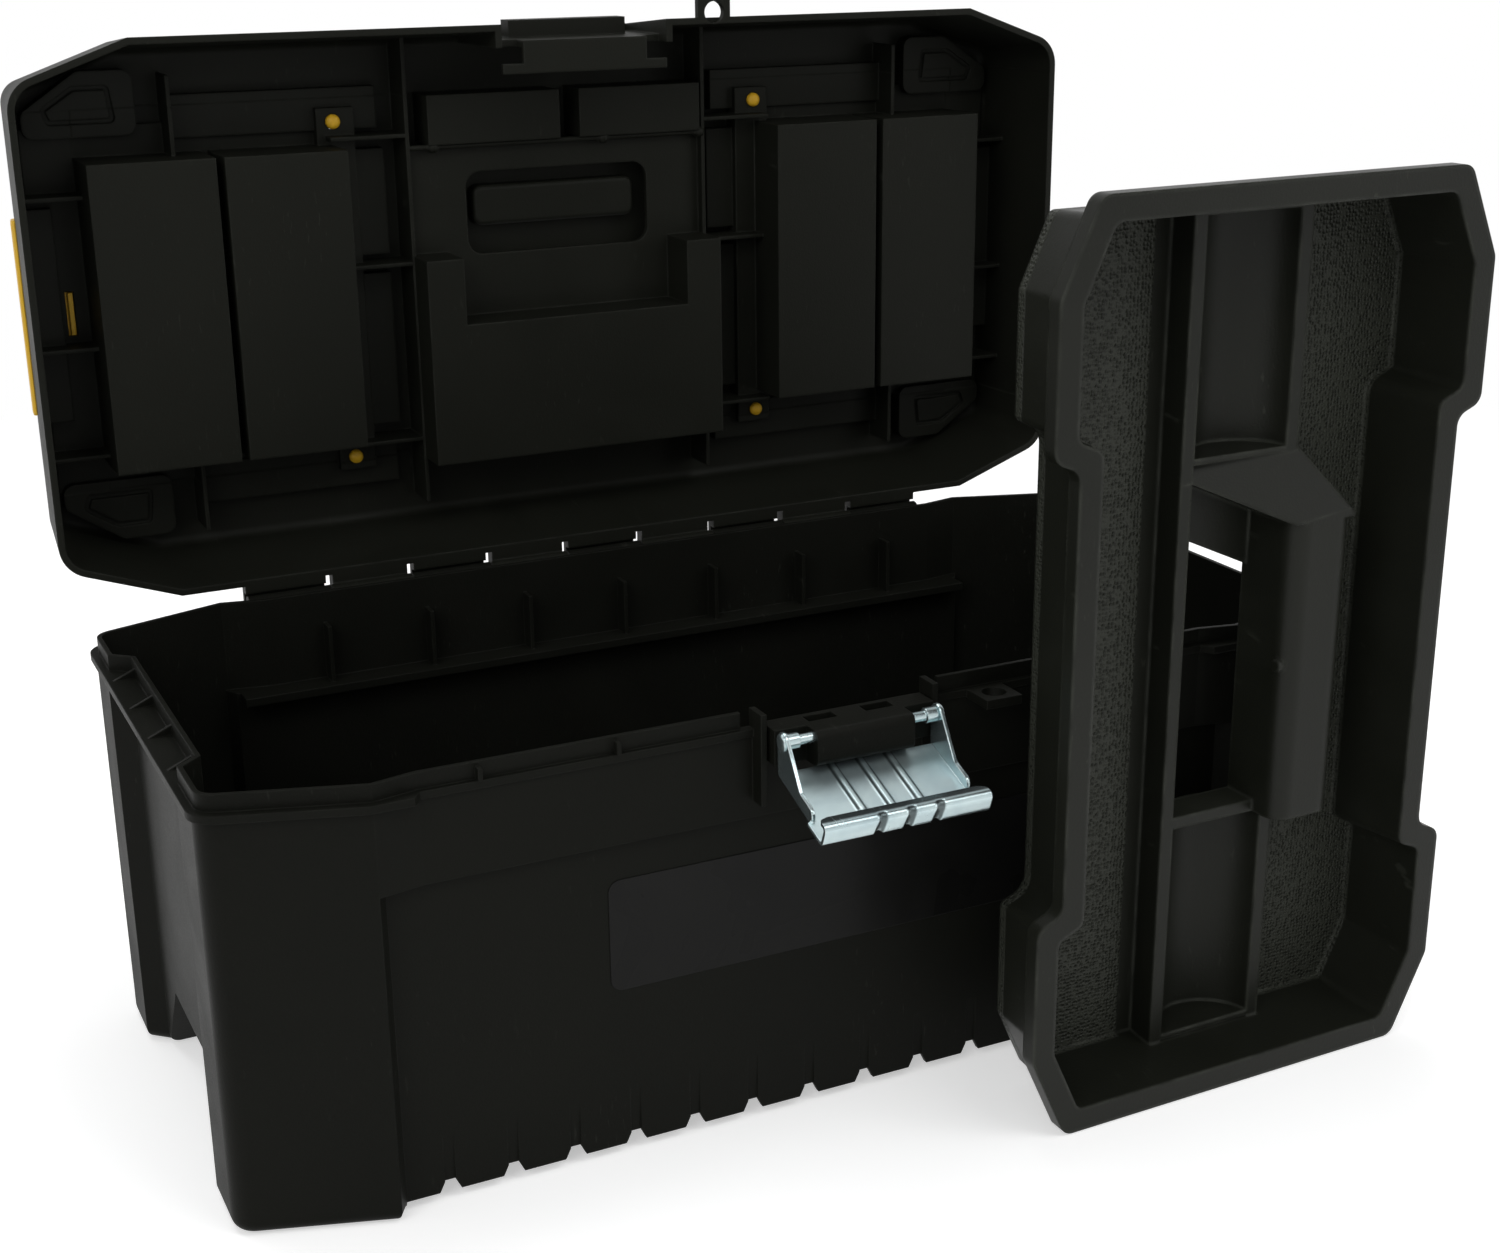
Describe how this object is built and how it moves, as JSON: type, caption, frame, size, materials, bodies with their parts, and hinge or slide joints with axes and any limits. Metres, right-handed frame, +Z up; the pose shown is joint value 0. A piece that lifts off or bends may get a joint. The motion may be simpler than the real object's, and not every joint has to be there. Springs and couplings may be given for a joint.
{
  "type": "carpenter toolbox",
  "caption": "Open plastic toolbox with a hinged lid that holds covered organizers and a folding handle, a metal latch, and a lift-out tray standing in front.",
  "frame": {"origin": "on the ground under the centre of the box", "axes": "+X along the box, to the right as seen from the front; -Y is the front with the latch; +Z up"},
  "size_m": [0.4078, 0.2978, 0.346],
  "materials": {
    "black_plastic": "moulded black polypropylene with a fine satin grain",
    "tray_plastic": "moulded black polypropylene, pebbled on the floor",
    "label_film": "blank dark film, slightly glossy",
    "yellow_plastic": "moulded yellow polypropylene, satin",
    "zinc_sheet": "bright zinc plated steel sheet",
    "steel": "plain steel rod"
  },
  "bodies": {
    "box": {"body_shell": "black_plastic", "front_label": "label_film", "hinge_pin": "steel"},
    "lid": {"lid_shell": "black_plastic", "lid_front": "black_plastic", "lid_rear": "black_plastic", "lid_end_left": "black_plastic", "lid_end_right": "black_plastic", "lid_well": "black_plastic", "organizer_left": "black_plastic", "organizer_right": "black_plastic"},
    "handle": {"carry_handle": "black_plastic"},
    "cover_left": {"organizer_cover_left": "yellow_plastic"},
    "cover_right": {"organizer_cover_right": "yellow_plastic"},
    "latch": {"latch_plate": "zinc_sheet", "latch_pivots": "zinc_sheet"},
    "tray": {"tray": "tray_plastic"}
  },
  "joints": [
    {"name": "lid_hinge", "type": "hinge", "parent": "box", "child": "lid", "pos_m": [0, 0.10375, 0.1372], "axis": [1, 0, 0], "range_deg": [0, 90]},
    {"name": "handle_fold", "type": "hinge", "parent": "lid", "child": "handle", "pos_m": [0, 0.14305, 0.24095], "axis": [-1, 0, 0], "range_deg": [0, 90]},
    {"name": "cover_left_hinge", "type": "hinge", "parent": "lid", "child": "cover_left", "pos_m": [-0.0853, 0.14855, 0.24095], "axis": [0, 0, -1], "range_deg": [0, 95]},
    {"name": "cover_right_hinge", "type": "hinge", "parent": "lid", "child": "cover_right", "pos_m": [0.0853, 0.14855, 0.24095], "axis": [0, 0, 1], "range_deg": [0, 95]},
    {"name": "latch_hinge", "type": "hinge", "parent": "box", "child": "latch", "pos_m": [0, -0.1045, 0.137], "axis": [-1, 0, 0], "range_deg": [0, 138]},
    {"name": "tray_lift", "type": "slide", "parent": "box", "child": "tray", "axis": [0, 0, 1], "range_m": [0, 0.25]}
  ]
}
